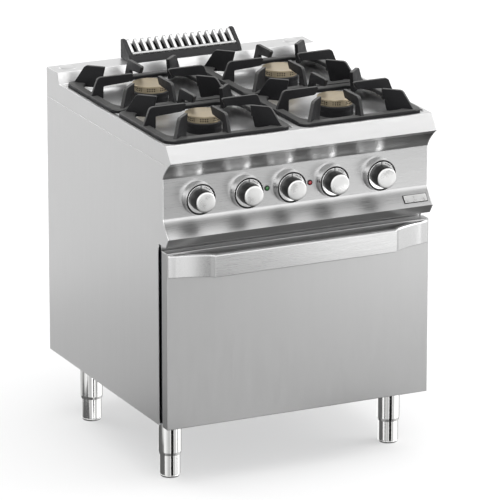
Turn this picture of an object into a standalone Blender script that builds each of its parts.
"""Commercial four-burner gas range on an electric oven, 700 mm module.

Metres, +Z up. The origin is on the floor under the middle of the range, the front faces -Y.
"""

import math

import bmesh
import bpy
from mathutils import Matrix, Vector

# ---- driving dimensions ------------------------------------------------------------------
WIDTH = 0.700
GAP = 0.0003  # clearance between touching pieces
SHEET = 0.003  # sheet metal thickness

REAR_Y = 0.3695
WORKTOP_Z = 0.854
LEDGE_Z = 0.8807
LEDGE_FRONT_Y = 0.302
SKIRT_Z = 0.8066
BODY_BOTTOM_Z = 0.1534

SLAB_TOP_Y = -0.3324
SLAB_LIP_Y = -0.3605
SLAB_LIP_Z = 0.817
PANEL_Y = -0.3136
BODY_FRONT_Y = -0.285

DOOR_FRONT_Y = -0.3278
DOOR_REAR_Y = -0.298
DOOR_HALF_X = 0.347
DOOR_BOTTOM_Z = 0.1516
DOOR_TOP_Z = 0.5903
HINGE_Y = -0.294
HINGE_Z = 0.156
HANDLE_FRONT_Y = -0.3695

BURNER_X = 0.175
BURNER_Y = (-0.1665, 0.1375)
KNOB_ROW_X = -0.022
KNOB_STEPS = (-0.238, -0.113, 0.0, 0.113, 0.238)
KNOB_Z = 0.7145
DIAL_Y = -0.3336
KNOB_FACE_Y = -0.3635

LEG_X = 0.294
LEG_Y = (-0.2255, 0.242)
GRATE_TOP_Z = 0.905

# ---- finishes: colour, roughness, metallic -----------------------------------------------
STEEL = ((0.62, 0.62, 0.61), 0.34, 1.0)
BRIGHT_STEEL = ((0.78, 0.78, 0.77), 0.16, 1.0)
CHROME = ((0.86, 0.86, 0.86), 0.08, 1.0)
ENAMEL = ((0.022, 0.022, 0.024), 0.45, 0.0)
CAST_IRON = ((0.035, 0.035, 0.037), 0.62, 0.0)
BRASS = ((0.62, 0.52, 0.34), 0.42, 1.0)
BLACK_PLASTIC = ((0.02, 0.02, 0.02), 0.4, 0.0)
RUBBER = ((0.015, 0.015, 0.015), 0.8, 0.0)
GALVANISED = ((0.5, 0.52, 0.54), 0.5, 1.0)
GREEN_LENS = ((0.02, 0.22, 0.05), 0.15, 0.0)
RED_LENS = ((0.42, 0.02, 0.03), 0.15, 0.0)


# ---- modelling helpers -------------------------------------------------------------------
def clear_scene():
    for item in list(bpy.data.objects):
        bpy.data.objects.remove(item, do_unlink=True)


def finished(bm, name="shape"):
    """Closes a bmesh into a mesh with its faces pointing out."""
    bmesh.ops.recalc_face_normals(bm, faces=bm.faces)
    mesh = bpy.data.meshes.new(name)
    bm.to_mesh(mesh)
    bm.free()
    return mesh


def box(x0, x1, y0, y1, z0, z1):
    bm = bmesh.new()
    bmesh.ops.create_cube(bm, size=1.0)
    size = Matrix.Diagonal((x1 - x0, y1 - y0, z1 - z0, 1.0))
    place = Matrix.Translation(((x0 + x1) / 2, (y0 + y1) / 2, (z0 + z1) / 2))
    bmesh.ops.transform(bm, matrix=place @ size, verts=bm.verts)
    return finished(bm)


def prism(outline, start, end, axis="X"):
    """Extrudes a closed outline along an axis; the outline gives the two other coordinates."""
    place = {
        "X": lambda a, b, h: (h, a, b),
        "Y": lambda a, b, h: (a, h, b),
        "Z": lambda a, b, h: (a, b, h),
    }[axis]
    bm = bmesh.new()
    face = bm.faces.new([bm.verts.new(place(a, b, start)) for a, b in outline])
    grown = bmesh.ops.extrude_face_region(bm, geom=[face])
    moved = [item for item in grown["geom"] if isinstance(item, bmesh.types.BMVert)]
    bmesh.ops.translate(bm, verts=moved, vec=Vector(place(0, 0, end - start)))
    return finished(bm)


def turned(profile, segments=24, place=None):
    """Revolves a (radius, height) profile about Z. It starts and ends on the axis, or is closed."""
    bm = bmesh.new()
    verts = [bm.verts.new((radius, 0.0, height)) for radius, height in profile]
    edges = [bm.edges.new(pair) for pair in zip(verts, verts[1:])]
    if profile[0][0] > 0:
        edges.append(bm.edges.new((verts[-1], verts[0])))
    bmesh.ops.spin(
        bm,
        geom=verts + edges,
        cent=(0, 0, 0),
        axis=(0, 0, 1),
        angle=math.tau,
        steps=segments,
    )
    bmesh.ops.remove_doubles(bm, verts=bm.verts, dist=1e-5)
    if place is not None:
        bmesh.ops.transform(bm, matrix=place, verts=bm.verts)
    return finished(bm)


def rod(radius, z0, z1, segments=24, place=None):
    return turned([(0, z0), (radius, z0), (radius, z1), (0, z1)], segments, place)


def facing_front(x, y, z):
    """A frame whose +Z points to the front of the range, for knobs and all that is on their axes."""
    return Matrix.Translation((x, y, z)) @ Matrix.Rotation(math.pi / 2, 4, "X")


def combined(base, others, operation):
    """One mesh from a base mesh and others, by Boolean modifiers on temporary objects."""
    body = bpy.data.objects.new("body", base)
    bpy.context.scene.collection.objects.link(body)
    tools = []
    for mesh in others:
        tool = bpy.data.objects.new("tool", mesh)
        bpy.context.scene.collection.objects.link(tool)
        modifier = body.modifiers.new("boolean", "BOOLEAN")
        modifier.operation = operation
        modifier.object = tool
        tools.append(tool)
    graph = bpy.context.evaluated_depsgraph_get()
    result = bpy.data.meshes.new_from_object(body.evaluated_get(graph))
    for item in [body] + tools:
        bpy.data.objects.remove(item, do_unlink=True)
    return result


def carved(base, cutters):
    return combined(base, cutters, "DIFFERENCE")


def fused(base, others):
    return combined(base, others, "UNION")


def rounded_rectangle(x0, x1, y0, y1, radius, steps=4):
    """Outline with rounded corners, anticlockwise."""
    centres = (
        (x1 - radius, y1 - radius),
        (x0 + radius, y1 - radius),
        (x0 + radius, y0 + radius),
        (x1 - radius, y0 + radius),
    )
    points = []
    for quarter, (cx, cy) in enumerate(centres):
        for step in range(steps + 1):
            turn = (quarter + step / steps) * math.pi / 2
            points.append((cx + radius * math.cos(turn), cy + radius * math.sin(turn)))
    return points


def bend(start, control, end, steps):
    """Points of a quadratic curve, ends included."""
    points = []
    for step in range(steps + 1):
        t = step / steps
        weights = ((1 - t) ** 2, 2 * t * (1 - t), t * t)
        points.append(
            tuple(
                sum(w * p[k] for w, p in zip(weights, (start, control, end)))
                for k in range(2)
            )
        )
    return points


def offset_inward(points, distance):
    """The open polyline moved sideways by a distance, to its left as it runs."""
    moved = []
    for index, point in enumerate(points):
        before = Vector(points[max(index - 1, 0)])
        after = Vector(points[min(index + 1, len(points) - 1)])
        along = (after - before).normalized()
        moved.append((point[0] - along.y * distance, point[1] + along.x * distance))
    return moved


def tube(points, radius):
    """A round tube along a polyline, as a bevelled curve turned into a closed mesh."""
    curve = bpy.data.curves.new("tube", "CURVE")
    curve.dimensions = "3D"
    curve.bevel_depth = radius
    curve.bevel_resolution = 1
    curve.use_fill_caps = True
    spline = curve.splines.new("POLY")
    spline.points.add(len(points) - 1)
    for point, place in zip(spline.points, points):
        point.co = (*place, 1.0)
    holder = bpy.data.objects.new("tube_path", curve)
    bpy.context.scene.collection.objects.link(holder)
    graph = bpy.context.evaluated_depsgraph_get()
    drawn = bpy.data.meshes.new_from_object(holder.evaluated_get(graph))
    bpy.data.objects.remove(holder, do_unlink=True)
    bm = bmesh.new()
    bm.from_mesh(drawn)
    bmesh.ops.remove_doubles(bm, verts=bm.verts, dist=1e-5)
    return finished(bm)


def material(finish, name):
    colour, roughness, metallic = finish
    made = bpy.data.materials.new(name)
    made.use_nodes = True
    shader = made.node_tree.nodes["Principled BSDF"]
    shader.inputs["Base Color"].default_value = (*colour, 1.0)
    shader.inputs["Roughness"].default_value = roughness
    shader.inputs["Metallic"].default_value = metallic
    return made


def piece(name, mesh, finish, origin=(0, 0, 0), smooth=False, parent=None):
    """A named object; its mesh was drawn in world coordinates and is moved onto its origin."""
    mesh = mesh.copy()
    mesh.name = name
    mesh.transform(Matrix.Translation(-Vector(origin)))
    mesh.materials.clear()
    mesh.materials.append(material(finish, name + "_finish"))
    if smooth:
        mesh.shade_smooth()
        mesh.set_sharp_from_angle(angle=math.radians(35))
    made = bpy.data.objects.new(name, mesh)
    bpy.context.scene.collection.objects.link(made)
    made.location = origin
    if parent is not None:
        made.location = Vector(origin) - parent.location
        made.parent = parent
    return made


def empty(name, origin):
    made = bpy.data.objects.new(name, None)
    bpy.context.scene.collection.objects.link(made)
    made.location = origin
    return made


# ---- shared shapes of the front ----------------------------------------------------------
COVE = bend((-0.357, 0.8155), (-0.316, 0.784), (PANEL_Y, 0.767), 6)
BULGE = bend((PANEL_Y, 0.6718), (-0.316, 0.655), (-0.3441, 0.628), 6)
LIP_Z = 0.6052
LIP = [(-0.3285, LIP_Z), (BODY_FRONT_Y - 0.0005, LIP_Z)]


def below_skirt(curve):
    """The part of the cove under the worktop's skirt, starting on the skirt's lower edge."""
    kept = [point for point in curve if point[1] < SKIRT_Z - GAP]
    above = [point for point in curve if point[1] >= SKIRT_Z - GAP][-1]
    t = (SKIRT_Z - GAP - above[1]) / (kept[0][1] - above[1])
    start = (above[0] + t * (kept[0][0] - above[0]), SKIRT_Z - GAP)
    return [start] + kept


FRONT_LINE = below_skirt(COVE) + BULGE + LIP


def make_side_panels():
    outline = FRONT_LINE[:-1] + [
        (BODY_FRONT_Y, LIP_Z),
        (BODY_FRONT_Y, BODY_BOTTOM_Z),
        (REAR_Y, BODY_BOTTOM_Z),
        (REAR_Y, SKIRT_Z - GAP),
    ]
    half = WIDTH / 2
    piece("side_panel_left", prism(outline, -half, -half + SHEET), STEEL)
    piece("side_panel_right", prism(outline, half - SHEET, half), STEEL)


def knob_positions():
    return [KNOB_ROW_X + step for step in KNOB_STEPS]


LAMP_X = (KNOB_ROW_X - 0.0565, KNOB_ROW_X + 0.0565)
SPINDLE_HOLE = 0.0065
LAMP_HOLE = 0.0045


def make_control_panel():
    inner = [(y, min(z, SKIRT_Z - GAP)) for y, z in offset_inward(FRONT_LINE, 0.002)]
    outline = FRONT_LINE + inner[::-1]
    half = WIDTH / 2 - SHEET - GAP
    panel = prism(outline, -half, half)
    holes = [
        rod(SPINDLE_HOLE, -0.02, 0.02, 12, facing_front(x, PANEL_Y, KNOB_Z))
        for x in knob_positions()
    ]
    holes += [
        rod(LAMP_HOLE, -0.02, 0.02, 12, facing_front(x, PANEL_Y, KNOB_Z)) for x in LAMP_X
    ]
    piece("control_panel", carved(panel, holes), STEEL)


# ---- worktop -----------------------------------------------------------------------------
BASIN_X = (0.006, 0.344)
BASIN_Y = (-0.325, 0.2905)
BASIN_RIM_Z = 0.850
BASIN_FLOOR_Z = 0.824
BASIN_STEP = 0.014
BASIN_THICK = 0.002
STEM_HOLE = 0.030
FLUE_HOLE = (-0.125, 0.125, 0.324, 0.352)


def make_worktop():
    upper_cove = [point for point in COVE if point[1] > SKIRT_Z][::-1]
    skirt_start = (below_skirt(COVE)[0][0], SKIRT_Z)
    outline = [
        (SLAB_LIP_Y, SLAB_LIP_Z),
        (SLAB_TOP_Y, WORKTOP_Z),
        (LEDGE_FRONT_Y - 0.0095, WORKTOP_Z),
        (LEDGE_FRONT_Y, LEDGE_Z),
        (REAR_Y, LEDGE_Z),
        (REAR_Y, SKIRT_Z),
        skirt_start,
    ] + upper_cove
    half = WIDTH / 2
    top = prism(outline, -half, half)
    open_z = SKIRT_Z - 0.01
    under = [
        (SLAB_TOP_Y, open_z),
        (SLAB_TOP_Y, WORKTOP_Z - SHEET),
        (LEDGE_FRONT_Y - 0.007, WORKTOP_Z - SHEET),
        (LEDGE_FRONT_Y + 0.002, LEDGE_Z - SHEET),
        (REAR_Y - SHEET, LEDGE_Z - SHEET),
        (REAR_Y - SHEET, open_z),
    ]
    shell = carved(top, [prism(under, -half + SHEET, half - SHEET)])
    tubs = []
    hollows = []
    for side in (-1, 1):
        x0, x1 = sorted(side * x for x in BASIN_X)
        grown = BASIN_THICK
        tubs.append(
            prism(
                rounded_rectangle(
                    x0 - grown, x1 + grown, BASIN_Y[0] - grown, BASIN_Y[1] + 0.001, 0.03
                ),
                BASIN_FLOOR_Z - BASIN_THICK,
                WORKTOP_Z - SHEET / 2,
                "Z",
            )
        )
        hollows.append(
            prism(
                rounded_rectangle(x0, x1, BASIN_Y[0], BASIN_Y[1], 0.028),
                BASIN_RIM_Z,
                WORKTOP_Z + 0.02,
                "Z",
            )
        )
        step = BASIN_STEP
        hollows.append(
            prism(
                rounded_rectangle(
                    x0 + step, x1 - step, BASIN_Y[0] + step, BASIN_Y[1] - step, 0.03
                ),
                BASIN_FLOOR_Z,
                WORKTOP_Z + 0.01,
                "Z",
            )
        )
        for y in BURNER_Y:
            place = Matrix.Translation((side * BURNER_X, y, 0))
            hollows.append(rod(STEM_HOLE, 0.80, 0.84, 16, place))
    x0, x1, y0, y1 = FLUE_HOLE
    hollows.append(box(x0, x1, y0, y1, 0.86, 0.90))
    piece("worktop", carved(fused(shell, tubs), hollows), STEEL)


# ---- flue --------------------------------------------------------------------------------
FLUE_HALF_X = 0.152
FLUE_FOOT_Y = 0.3055
FLUE_SEAT_Y = 0.3125
FLUE_REAR_Y = 0.3675
FLUE_TOP_Z = 0.930
FLUE_RAIL_Z = 0.900
FLUE_SLOTS = 14
CHEEK = 0.010


def flue_slope(y):
    """Height of the sloping grille's top face at a depth."""
    front = FLUE_SEAT_Y + 0.009
    return FLUE_RAIL_Z + (y - front) * (FLUE_TOP_Z - 0.004 - FLUE_RAIL_Z) / (FLUE_REAR_Y - front)


def make_flue():
    base = LEDGE_Z + GAP
    side = [
        (FLUE_FOOT_Y, base),
        (FLUE_SEAT_Y + 0.006, FLUE_RAIL_Z),
        (FLUE_SEAT_Y + 0.014, FLUE_RAIL_Z + 0.006),
        (FLUE_REAR_Y - 0.010, FLUE_TOP_Z),
        (FLUE_REAR_Y - 0.002, FLUE_TOP_Z),
        (FLUE_REAR_Y, FLUE_TOP_Z - 0.004),
        (FLUE_REAR_Y, base),
    ]
    block = prism(side, -FLUE_HALF_X, FLUE_HALF_X)
    inner = FLUE_HALF_X - CHEEK
    floor_cut = 0.012
    channel = [
        (FLUE_SEAT_Y + 0.004, FLUE_RAIL_Z - floor_cut),
        (FLUE_SEAT_Y + 0.004, FLUE_TOP_Z + 0.02),
        (FLUE_REAR_Y + 0.02, FLUE_TOP_Z + 0.02),
        (FLUE_REAR_Y + 0.02, FLUE_TOP_Z - floor_cut - 0.004),
        (FLUE_REAR_Y - 0.004, FLUE_TOP_Z - floor_cut - 0.004),
    ]
    trough = prism(channel, -inner, inner)
    x0, x1, y0, y1 = FLUE_HOLE
    shaft = box(x0, x1, y0, y1, base - 0.01, FLUE_TOP_Z + 0.02)
    piece("flue_housing", carved(block, [trough, shaft]), ENAMEL)
    make_flue_grille(inner - GAP)


def make_flue_grille(half):
    front = FLUE_SEAT_Y + 0.0045
    rear = FLUE_REAR_Y - 0.0005
    thick = 0.008
    plate = [
        (front, flue_slope(front) - thick),
        (front, flue_slope(front)),
        (rear, flue_slope(rear)),
        (rear, flue_slope(rear) - thick),
    ]
    pitch = 2 * half / (FLUE_SLOTS + 0.5)
    slots = []
    for index in range(FLUE_SLOTS):
        centre = -half + pitch * (index + 0.75)
        slots.append(
            box(centre - 0.3 * pitch, centre + 0.3 * pitch, front + 0.008, rear - 0.004, 0.88, 0.94)
        )
    piece("flue_grille", carved(prism(plate, -half, half), slots), BRIGHT_STEEL)


# ---- cabinet panels and oven chamber -----------------------------------------------------
CAVITY_HALF_X = 0.276
CAVITY_Z = (0.215, 0.545)
CAVITY_REAR_Y = 0.276
CHAMBER_WALL = 0.002
FLANGE_FRONT_Y = -0.2870
FLANGE_HALF_X = 0.3425
FLANGE_Z = (0.160, LIP_Z - GAP)
SHELF_Z = 0.352
RUNNER_Z = (0.280, 0.350, 0.420)
INSIDE_X = WIDTH / 2 - SHEET - GAP
LOUVRE_HALF_X = 0.2
LOUVRE_HEIGHT = 0.008
LOUVRE_Z = (0.62, 0.645, 0.67, 0.695)


def make_cabinet():
    base_top = BODY_BOTTOM_Z + SHEET
    half = INSIDE_X
    base = box(-half, half, BODY_FRONT_Y + 0.002, REAR_Y - 0.002, BODY_BOTTOM_Z, base_top)
    piece("base_panel", base, GALVANISED)
    rear = REAR_Y - SHEET
    back = box(-half, half, rear - SHEET, rear, base_top + GAP, SKIRT_Z - GAP)
    inlet_hole = rod(0.013, -0.02, 0.02, 16, facing_front(GAS_INLET_X, REAR_Y, KNOB_Z))
    gland_hole = rod(0.0105, -0.02, 0.02, 16, facing_front(GLAND_X, REAR_Y, GLAND_Z))
    half = LOUVRE_HALF_X
    louvres = [
        box(-half, half, REAR_Y - 0.02, REAR_Y + 0.01, z, z + LOUVRE_HEIGHT)
        for z in LOUVRE_Z
    ]
    piece("back_panel", carved(back, [inlet_hole, gland_hole] + louvres), GALVANISED)


def make_oven():
    flange_rear = FLANGE_FRONT_Y + SHEET / 2
    flange = box(-FLANGE_HALF_X, FLANGE_HALF_X, FLANGE_FRONT_Y, flange_rear, *FLANGE_Z)
    half = CAVITY_HALF_X
    wall = CHAMBER_WALL
    low, high = CAVITY_Z
    body = box(
        -half - wall, half + wall, FLANGE_FRONT_Y + 0.001, CAVITY_REAR_Y + wall,
        low - wall, high + wall,
    )
    cavity = box(-half, half, FLANGE_FRONT_Y - 0.02, CAVITY_REAR_Y, low, high)
    runners = []
    for side in (-1, 1):
        for z in RUNNER_Z:
            x0, x1 = sorted((side * (CAVITY_HALF_X + 0.001), side * (CAVITY_HALF_X - 0.010)))
            runners.append(box(x0, x1, FLANGE_FRONT_Y + 0.010, 0.270, z - 0.004, z))
    shell = carved(fused(body, [flange]), [cavity])
    piece("oven_chamber", fused(shell, runners), ENAMEL)
    make_seal()
    make_shelf()
    make_element()


def make_seal():
    """Flat ring round the oven mouth that the closed door presses on."""
    half = CAVITY_HALF_X + 0.024
    bottom = CAVITY_Z[0] - 0.021
    top = CAVITY_Z[1] + 0.017
    band = 0.022
    outer = rounded_rectangle(-half - band, half + band, bottom - band, top + band, 0.02, 3)
    inner = rounded_rectangle(-half, half, bottom, top, 0.014, 3)
    ring = prism(outer, DOOR_REAR_Y + GAP, FLANGE_FRONT_Y - GAP, "Y")
    hole = prism(inner, DOOR_REAR_Y - band, FLANGE_FRONT_Y + band, "Y")
    piece("door_seal", carved(ring, [hole]), RUBBER)


def make_shelf():
    """Flat wire-shelf frame with cross bars, as one welded piece resting on its runners."""
    half = CAVITY_HALF_X - 0.004
    z0 = SHELF_Z - 0.002 + GAP
    z1 = z0 + 0.006
    y0 = FLANGE_FRONT_Y + 0.014
    y1 = 0.262
    frame = box(-half, half, y0, y1, z0, z1)
    cells = 7
    bar = 0.007
    width = (2 * half - bar) / cells
    holes = [
        box(-half + bar + i * width, -half + (i + 1) * width, y0 + bar, y1 - bar, 0.3, 0.4)
        for i in range(cells)
    ]
    piece("oven_shelf", carved(frame, holes), CHROME, origin=(0, y0, z0))


def make_element():
    """Sheathed heating loop on the oven floor, with its two tails at the rear wall."""
    z = CAVITY_Z[0] + 0.018
    half, front, rear, tail = 0.20, -0.22, 0.24, 0.05
    right = [(half, front), (half, rear), (tail, rear), (tail, CAVITY_REAR_Y - 0.002)]
    left = [(-x, y) for x, y in right[::-1]]
    route = [(x, y, z) for x, y in left + right]
    piece("heating_element", tube(route, 0.005), GALVANISED, smooth=True)


# ---- legs --------------------------------------------------------------------------------
SLEEVE_BOTTOM_Z = 0.057
FOOT_RADIUS = 0.025


def make_legs():
    top = BODY_BOTTOM_Z - GAP
    bore = FOOT_RADIUS + 0.0005
    sleeve = [
        (0, top),
        (0.028, top),
        (0.028, SLEEVE_BOTTOM_Z + 0.006),
        (bore + 0.001, SLEEVE_BOTTOM_Z),
        (bore, SLEEVE_BOTTOM_Z),
        (bore, top - 0.008),
        (0, top - 0.008),
    ]
    foot = [
        (0, 0.130),
        (FOOT_RADIUS, 0.130),
        (FOOT_RADIUS, 0.003),
        (FOOT_RADIUS - 0.003, 0),
        (0, 0),
    ]
    sleeve_mesh = turned(sleeve, 20)
    foot_mesh = turned(foot, 20)
    for row, y in zip(("front", "rear"), LEG_Y):
        for side, x in (("left", -LEG_X), ("right", LEG_X)):
            for name, mesh in (("leg_sleeve", sleeve_mesh), ("leg_foot", foot_mesh)):
                made = piece(f"{name}_{row}_{side}", mesh, BRIGHT_STEEL, smooth=True)
                made.location = (x, y, 0)


# ---- burners and grates ------------------------------------------------------------------
STEM_BOTTOM_Z = 0.786
CUP_TOP_Z = 0.8578
RECESS_Z = 0.852
CROWN_TOP_Z = 0.8764


def burner_places():
    for row, y in zip(("front", "rear"), BURNER_Y):
        for side, x in (("left", -BURNER_X), ("right", BURNER_X)):
            yield f"{row}_{side}", x, y


def make_burners():
    floor = BASIN_FLOOR_Z + GAP
    cup = [
        (0, RECESS_Z),
        (0.036, RECESS_Z),
        (0.036, CUP_TOP_Z),
        (0.0455, CUP_TOP_Z),
        (0.0455, floor + 0.004),
        (0.054, floor + 0.002),
        (0.054, floor),
        (0.027, floor),
        (0.027, STEM_BOTTOM_Z),
        (0, STEM_BOTTOM_Z),
    ]
    crown = [
        (0, CROWN_TOP_Z - 0.0012),
        (0.030, CROWN_TOP_Z - 0.0012),
        (0.040, CROWN_TOP_Z),
        (0.0435, CROWN_TOP_Z - 0.0019),
        (0.0435, CROWN_TOP_Z - 0.0045),
        (0.0425, CROWN_TOP_Z - 0.0055),
        (0.0405, CUP_TOP_Z + GAP),
        (0.0355, CUP_TOP_Z + GAP),
        (0.0355, RECESS_Z + GAP),
        (0, RECESS_Z + GAP),
    ]
    cup_mesh = turned(cup, 20)
    crown_mesh = turned(crown, 24)
    for name, x, y in burner_places():
        body = piece(f"burner_body_{name}", cup_mesh, CAST_IRON, smooth=True)
        body.location = (x, y, 0)
        head = piece(f"burner_crown_{name}", crown_mesh, BRASS, smooth=True)
        head.location = (x, y, 0)


RIM_HALF_X = 0.162
RIM_HALF_Y = 0.149
RIM_WIDTH = 0.022
RIM_TOP_Z = 0.861
RIM_BOTTOM_Z = BASIN_RIM_Z + GAP
FINGER = 0.009
TIP_RADIUS = 0.047


def finger(profile, degrees):
    """A vertical plate with a (radius, height) outline, on a ray from the burner's axis."""
    mesh = prism(profile, -FINGER / 2, FINGER / 2, "Y")
    mesh.transform(Matrix.Rotation(math.radians(degrees), 4, "Z"))
    return mesh


def straight_finger(reach):
    """Arched pan support from the rim to the burner; reach is the rim's half size that way."""
    top = GRATE_TOP_Z
    return [
        (TIP_RADIUS, top - 0.003),
        (TIP_RADIUS + 0.003, top),
        (reach - 0.026, top),
        (reach - 0.021, top - 0.003),
        (reach - 0.003, RIM_TOP_Z - 0.002),
        (reach - 0.003, RIM_BOTTOM_Z + 0.001),
        (reach - 0.036, RIM_BOTTOM_Z + 0.001),
        (reach - 0.036, top - 0.024),
        (TIP_RADIUS + 0.010, top - 0.020),
    ]


def corner_finger():
    top = GRATE_TOP_Z
    return [
        (0.118, top),
        (0.166, top),
        (0.171, top - 0.003),
        (0.199, RIM_TOP_Z - 0.002),
        (0.199, RIM_BOTTOM_Z + 0.001),
        (0.130, RIM_BOTTOM_Z + 0.001),
    ]


def make_grates():
    outer = rounded_rectangle(-RIM_HALF_X, RIM_HALF_X, -RIM_HALF_Y, RIM_HALF_Y, 0.024, 3)
    inner_x = RIM_HALF_X - RIM_WIDTH
    inner_y = RIM_HALF_Y - RIM_WIDTH
    inner = rounded_rectangle(-inner_x, inner_x, -inner_y, inner_y, 0.050, 3)
    rim = carved(
        prism(outer, RIM_BOTTOM_Z, RIM_TOP_Z, "Z"),
        [prism(inner, RIM_BOTTOM_Z - 0.01, RIM_TOP_Z + 0.01, "Z")],
    )
    fingers = [finger(straight_finger(RIM_HALF_X), turn) for turn in (0, 180)]
    fingers += [finger(straight_finger(RIM_HALF_Y), turn) for turn in (90, 270)]
    slope = math.degrees(math.atan2(1, 1))
    fingers += [finger(corner_finger(), slope + 90 * quarter) for quarter in range(4)]
    mesh = fused(rim, fingers)
    for name, x, y in burner_places():
        made = piece(f"grate_{name}", mesh, CAST_IRON)
        made.location = (x, y, 0)


# ---- gas line, taps, knobs and lamps -----------------------------------------------------
MANIFOLD_Y = -0.245
MANIFOLD_RADIUS = 0.011
GAS_INLET_X = 0.325
GLAND_X = -0.25
GLAND_Z = 0.66
TAP_FRONT_Y = -0.300
SPINDLE_RADIUS = 0.004
SPINDLE_BORE = 0.0045
SPINDLE_SUNK = 0.018  # length of spindle inside its tap


def make_gas_line():
    left = knob_positions()[0] - 0.03
    route = [
        (left, MANIFOLD_Y, KNOB_Z),
        (GAS_INLET_X - 0.02, MANIFOLD_Y, KNOB_Z),
        (GAS_INLET_X, MANIFOLD_Y + 0.02, KNOB_Z),
        (GAS_INLET_X, REAR_Y - 0.001, KNOB_Z),
    ]
    piece("gas_manifold", tube(route, MANIFOLD_RADIUS), GALVANISED, smooth=True)


def feed_route(x, target_x, target_y):
    """A tap's feed pipe: up off the tap, back over the oven, up to its burner's stem."""
    lift = 0.772
    tap_y = -0.285
    return [
        (x, tap_y, KNOB_Z + 0.008),
        (x, tap_y, lift - 0.012),
        (x, tap_y + 0.012, lift),
        (x, MANIFOLD_Y, lift),
        (target_x, MANIFOLD_Y + 0.03, lift),
        (target_x, target_y, lift),
        (target_x, target_y, STEM_BOTTOM_Z - GAP),
    ]


def make_taps():
    targets = list(burner_places())
    # Taps from left to right feed front left, rear left, rear right and front right.
    order = (0, 2, 3, 1)
    knobs = knob_positions()
    gas_knobs = [knobs[0], knobs[1], knobs[3], knobs[4]]
    for number, (x, target) in enumerate(zip(gas_knobs, order), 1):
        _, target_x, target_y = targets[target]
        side = -1 if target_x < 0 else 1
        lane = target_x + side * (0.012 if target_y < 0 else -0.012)
        half = 0.014
        rear = MANIFOLD_Y - MANIFOLD_RADIUS - GAP
        block = box(x - half, x + half, TAP_FRONT_Y, rear, KNOB_Z - half, KNOB_Z + half)
        pipe = tube(feed_route(x, lane, target_y), 0.004)
        bore = rod(SPINDLE_BORE, 0, 0.03, 12, facing_front(x, TAP_FRONT_Y + 0.025, KNOB_Z))
        piece(f"gas_tap_{number}", fused(carved(block, [bore]), [pipe]), BRASS)


KNOB_DEPTH = PANEL_Y - DIAL_Y
KNOB_REACH = PANEL_Y - KNOB_FACE_Y
SPINDLE_END = KNOB_REACH - 0.011
BORE_END = KNOB_REACH - 0.010


def make_bezels():
    """Fixed chrome rings on the panel, one round every knob."""
    flare = [
        (0.041, 0),
        (0.0405, 0.004),
        (0.0385, 0.012),
        (0.0378, 0.020),
        (0.0370, 0.020),
        (0.0366, 0.0015),
        (0.012, 0.0015),
        (0.012, 0),
    ]
    mesh = turned(flare, 24)
    for name, x in knob_names():
        ring = piece(f"knob_bezel_{name}", mesh, CHROME, smooth=True)
        ring.matrix_world = facing_front(x, PANEL_Y - GAP, KNOB_Z)


def knob_names():
    return zip(("gas_1", "gas_2", "oven", "gas_3", "gas_4"), knob_positions())


def make_knobs():
    """Turning knobs with their dial skirts, each on an axis empty in the panel's face."""
    profile = [
        (0, KNOB_REACH),
        (0.0235, KNOB_REACH),
        (0.0252, KNOB_REACH - 0.0015),
        (0.0262, KNOB_DEPTH),
        (0.0348, KNOB_DEPTH),
        (0.0350, KNOB_DEPTH - 0.004),
        (0.0080, KNOB_DEPTH - 0.006),
        (0.0080, KNOB_DEPTH - 0.012),
        (SPINDLE_BORE, KNOB_DEPTH - 0.012),
        (SPINDLE_BORE, BORE_END),
        (0, BORE_END),
    ]
    mesh = turned(profile, 24)
    for name, x in knob_names():
        axis = empty(f"knob_axis_{name}", (x, PANEL_Y, KNOB_Z))
        knob = piece(f"knob_{name}", mesh, BLACK_PLASTIC, smooth=True)
        knob.parent = axis
        knob.rotation_euler = (math.pi / 2, 0, 0)


def make_spindles():
    """Gas tap spindles, free to slide in when a knob is pressed."""
    tail = PANEL_Y - TAP_FRONT_Y - SPINDLE_SUNK
    mesh = rod(SPINDLE_RADIUS, tail, SPINDLE_END, 12)
    gas_positions = [x for name, x in knob_names() if name != "oven"]
    for number, x in enumerate(gas_positions, 1):
        spindle = piece(f"tap_spindle_{number}", mesh, GALVANISED, smooth=True)
        spindle.matrix_world = facing_front(x, PANEL_Y, KNOB_Z)


def make_thermostat():
    x = knob_positions()[2]
    half = 0.022
    block = box(x - half, x + half, TAP_FRONT_Y, -0.262, KNOB_Z - half, KNOB_Z + half)
    shaft_end = TAP_FRONT_Y - PANEL_Y + SPINDLE_END - 0.0005
    shaft = rod(SPINDLE_RADIUS, -0.002, shaft_end, 12, facing_front(x, TAP_FRONT_Y, KNOB_Z))
    piece("oven_thermostat", fused(block, [shaft]), BLACK_PLASTIC)


def make_lamps():
    lens = [
        (0, 0.0036),
        (0.0035, 0.0030),
        (0.0052, 0.0018),
        (0.0060, 0.0010),
        (0.0060, GAP),
        (0.0040, GAP),
        (0.0040, -0.014),
        (0, -0.014),
    ]
    mesh = turned(lens, 16)
    for name, x, finish in zip(("power", "heating"), LAMP_X, (GREEN_LENS, RED_LENS)):
        lamp = piece(f"lamp_{name}", mesh, finish, smooth=True)
        lamp.matrix_world = facing_front(x, PANEL_Y, KNOB_Z)


def make_gland():
    """Mains cable gland: its flange lies on the back panel and its open body goes through."""
    profile = [
        (0.006, 0.0029),
        (0.009, 0.0029),
        (0.0125, 0.0012),
        (0.0125, GAP),
        (0.0100, GAP),
        (0.0100, -0.016),
        (0.006, -0.016),
    ]
    place = Matrix.Translation((GLAND_X, REAR_Y - SHEET, GLAND_Z))
    facing_rear = Matrix.Rotation(-math.pi / 2, 4, "X")
    mesh = turned(profile, 16, place @ facing_rear)
    piece("cable_gland", mesh, BLACK_PLASTIC, smooth=True)


# ---- oven door ---------------------------------------------------------------------------
HANDLE_Z = (0.530, 0.5865)
HANDLE_FLAT_X = 0.2395
HANDLE_CHAMFER_X = 0.249
HANDLE_END_X = 0.3435


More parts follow.
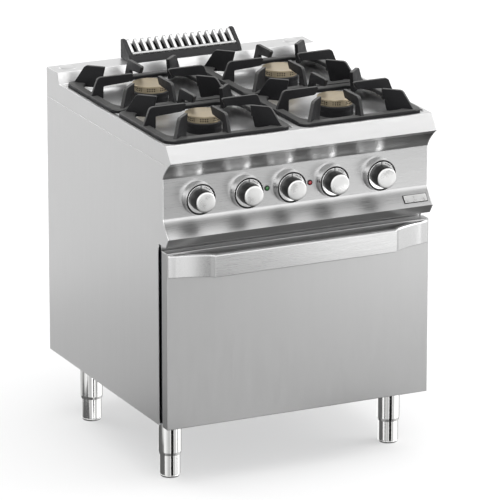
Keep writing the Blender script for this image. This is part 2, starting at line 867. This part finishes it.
def make_door():
    axis = empty("door_axis", (0, HINGE_Y, HINGE_Z))
    origin = tuple(axis.location)
    half = DOOR_HALF_X
    pan = box(-half, half, DOOR_FRONT_Y, DOOR_REAR_Y, DOOR_BOTTOM_Z, DOOR_TOP_Z)
    wall = 0.002
    hollow = box(
        -half + wall, half - wall, DOOR_FRONT_Y + wall, DOOR_REAR_Y + 0.01,
        DOOR_BOTTOM_Z + wall, DOOR_TOP_Z - wall,
    )
    piece("door_outer_panel", carved(pan, [hollow]), STEEL, origin, parent=axis)
    inset = wall + GAP
    liner = box(
        -half + inset, half - inset, DOOR_REAR_Y - wall, DOOR_REAR_Y,
        DOOR_BOTTOM_Z + inset, DOOR_TOP_Z - inset,
    )
    piece("door_inner_panel", liner, BRIGHT_STEEL, origin, parent=axis)
    make_handle(axis, origin)
    for side, name in ((-1, "left"), (1, "right")):
        x0, x1 = sorted((side * 0.318, side * 0.326))
        arm = box(x0, x1, DOOR_FRONT_Y + 0.004, DOOR_REAR_Y - 0.004, DOOR_BOTTOM_Z + 0.003, 0.300)
        piece(f"hinge_arm_{name}", arm, GALVANISED, origin, parent=axis)


def handle_line():
    """The band's outer face in plan, left to right: door face, flared end, chamfer, flat front."""
    chamfer_y = HANDLE_FRONT_Y + 0.0055
    start = DOOR_FRONT_Y - GAP
    left = []
    steps = 6
    for step in range(steps + 1):
        t = step / steps
        x = -HANDLE_END_X + t * (HANDLE_END_X - HANDLE_CHAMFER_X)
        left.append((x, start - 0.003 + t**1.5 * (chamfer_y - start + 0.003)))
    left.append((-HANDLE_FLAT_X, HANDLE_FRONT_Y))
    return left + [(-x, y) for x, y in left[::-1]]


def make_handle(axis, origin):
    outer = handle_line()
    thick = SHEET
    door_face = DOOR_FRONT_Y - GAP
    inner = [(x, min(y, door_face)) for x, y in offset_inward(outer, thick)]
    inner[0] = (-HANDLE_END_X, door_face)
    inner[-1] = (HANDLE_END_X, door_face)
    band = prism(outer + inner[::-1], HANDLE_Z[0], HANDLE_Z[1], "Z")
    grip = [point for point in outer if abs(point[0]) <= HANDLE_CHAMFER_X + GAP]
    lip_half = HANDLE_CHAMFER_X - 0.004
    lip_rear = HANDLE_FRONT_Y + 0.012
    grip += [(lip_half, lip_rear), (-lip_half, lip_rear)]
    lip = prism(grip, HANDLE_Z[1] - thick, HANDLE_Z[1], "Z")
    piece("door_handle", fused(band, [lip]), BRIGHT_STEEL, origin, parent=axis)


def main():
    clear_scene()
    make_side_panels()
    make_control_panel()
    make_worktop()
    make_flue()
    make_cabinet()
    make_oven()
    make_legs()
    make_burners()
    make_grates()
    make_gas_line()
    make_taps()
    make_bezels()
    make_knobs()
    make_spindles()
    make_thermostat()
    make_lamps()
    make_gland()
    make_door()


main()
